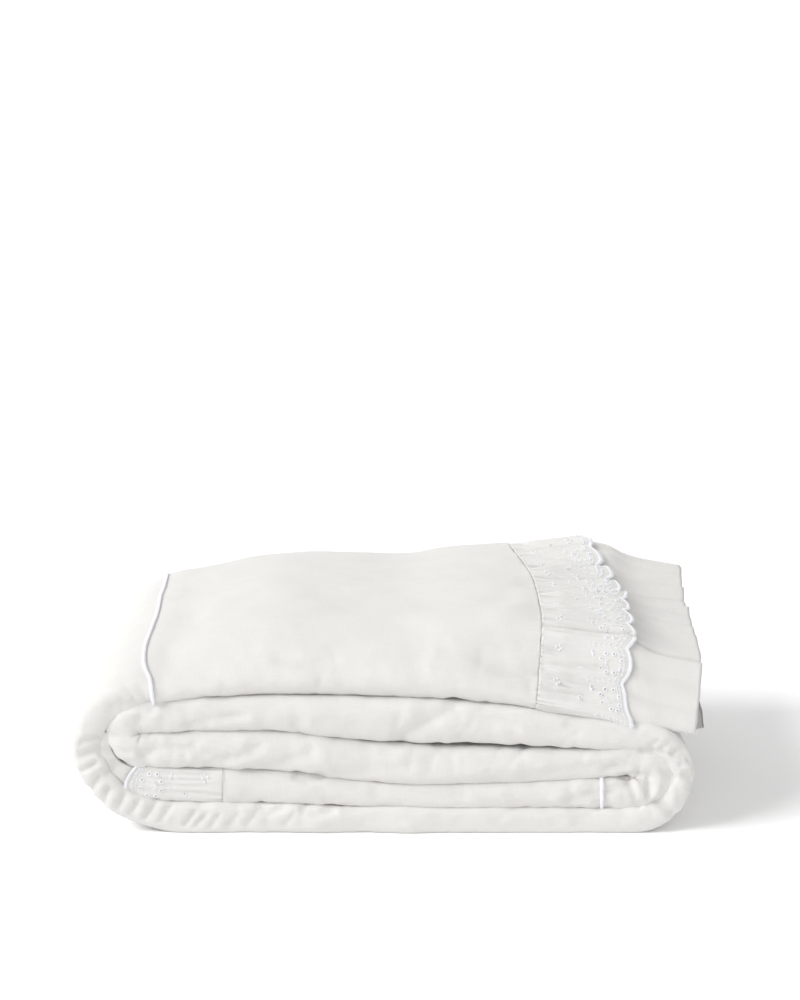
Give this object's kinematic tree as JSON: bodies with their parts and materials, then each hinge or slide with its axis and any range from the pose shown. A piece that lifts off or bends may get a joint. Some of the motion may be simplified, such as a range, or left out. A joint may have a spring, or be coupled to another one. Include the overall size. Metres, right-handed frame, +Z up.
{
  "type": "ruffled flat bed sheet, folded",
  "caption": "King-size linen flat sheet folded lengthwise and coiled into a flat bundle, with corded cuffs and gathered eyelet-lace ruffles at both ends.",
  "frame": {"origin": "centre of the bounding box's footprint, on the surface that the folded sheet lies on", "axes": "+X along the bundle's length towards the outer ruffle, +Y from the rounded front folds to the open back edges, +Z up"},
  "size_m": [0.604, 0.3326, 0.2127],
  "materials": {
    "linen": "off-white washed linen, matt",
    "lace_cloth": "fine off-white cloth with white eyelet embroidery, matt",
    "cord": "white overcast cotton cord, soft sheen"
  },
  "bodies": {
    "root": {"sheet_body": "linen", "cuff_outer": "linen", "cuff_inner": "linen", "cord_outer": "cord", "cord_inner": "cord", "lace_ruffle_outer": "lace_cloth", "lace_ruffle_inner": "lace_cloth", "plain_ruffle_outer": "linen", "plain_ruffle_inner": "linen"}
  },
  "joints": []
}
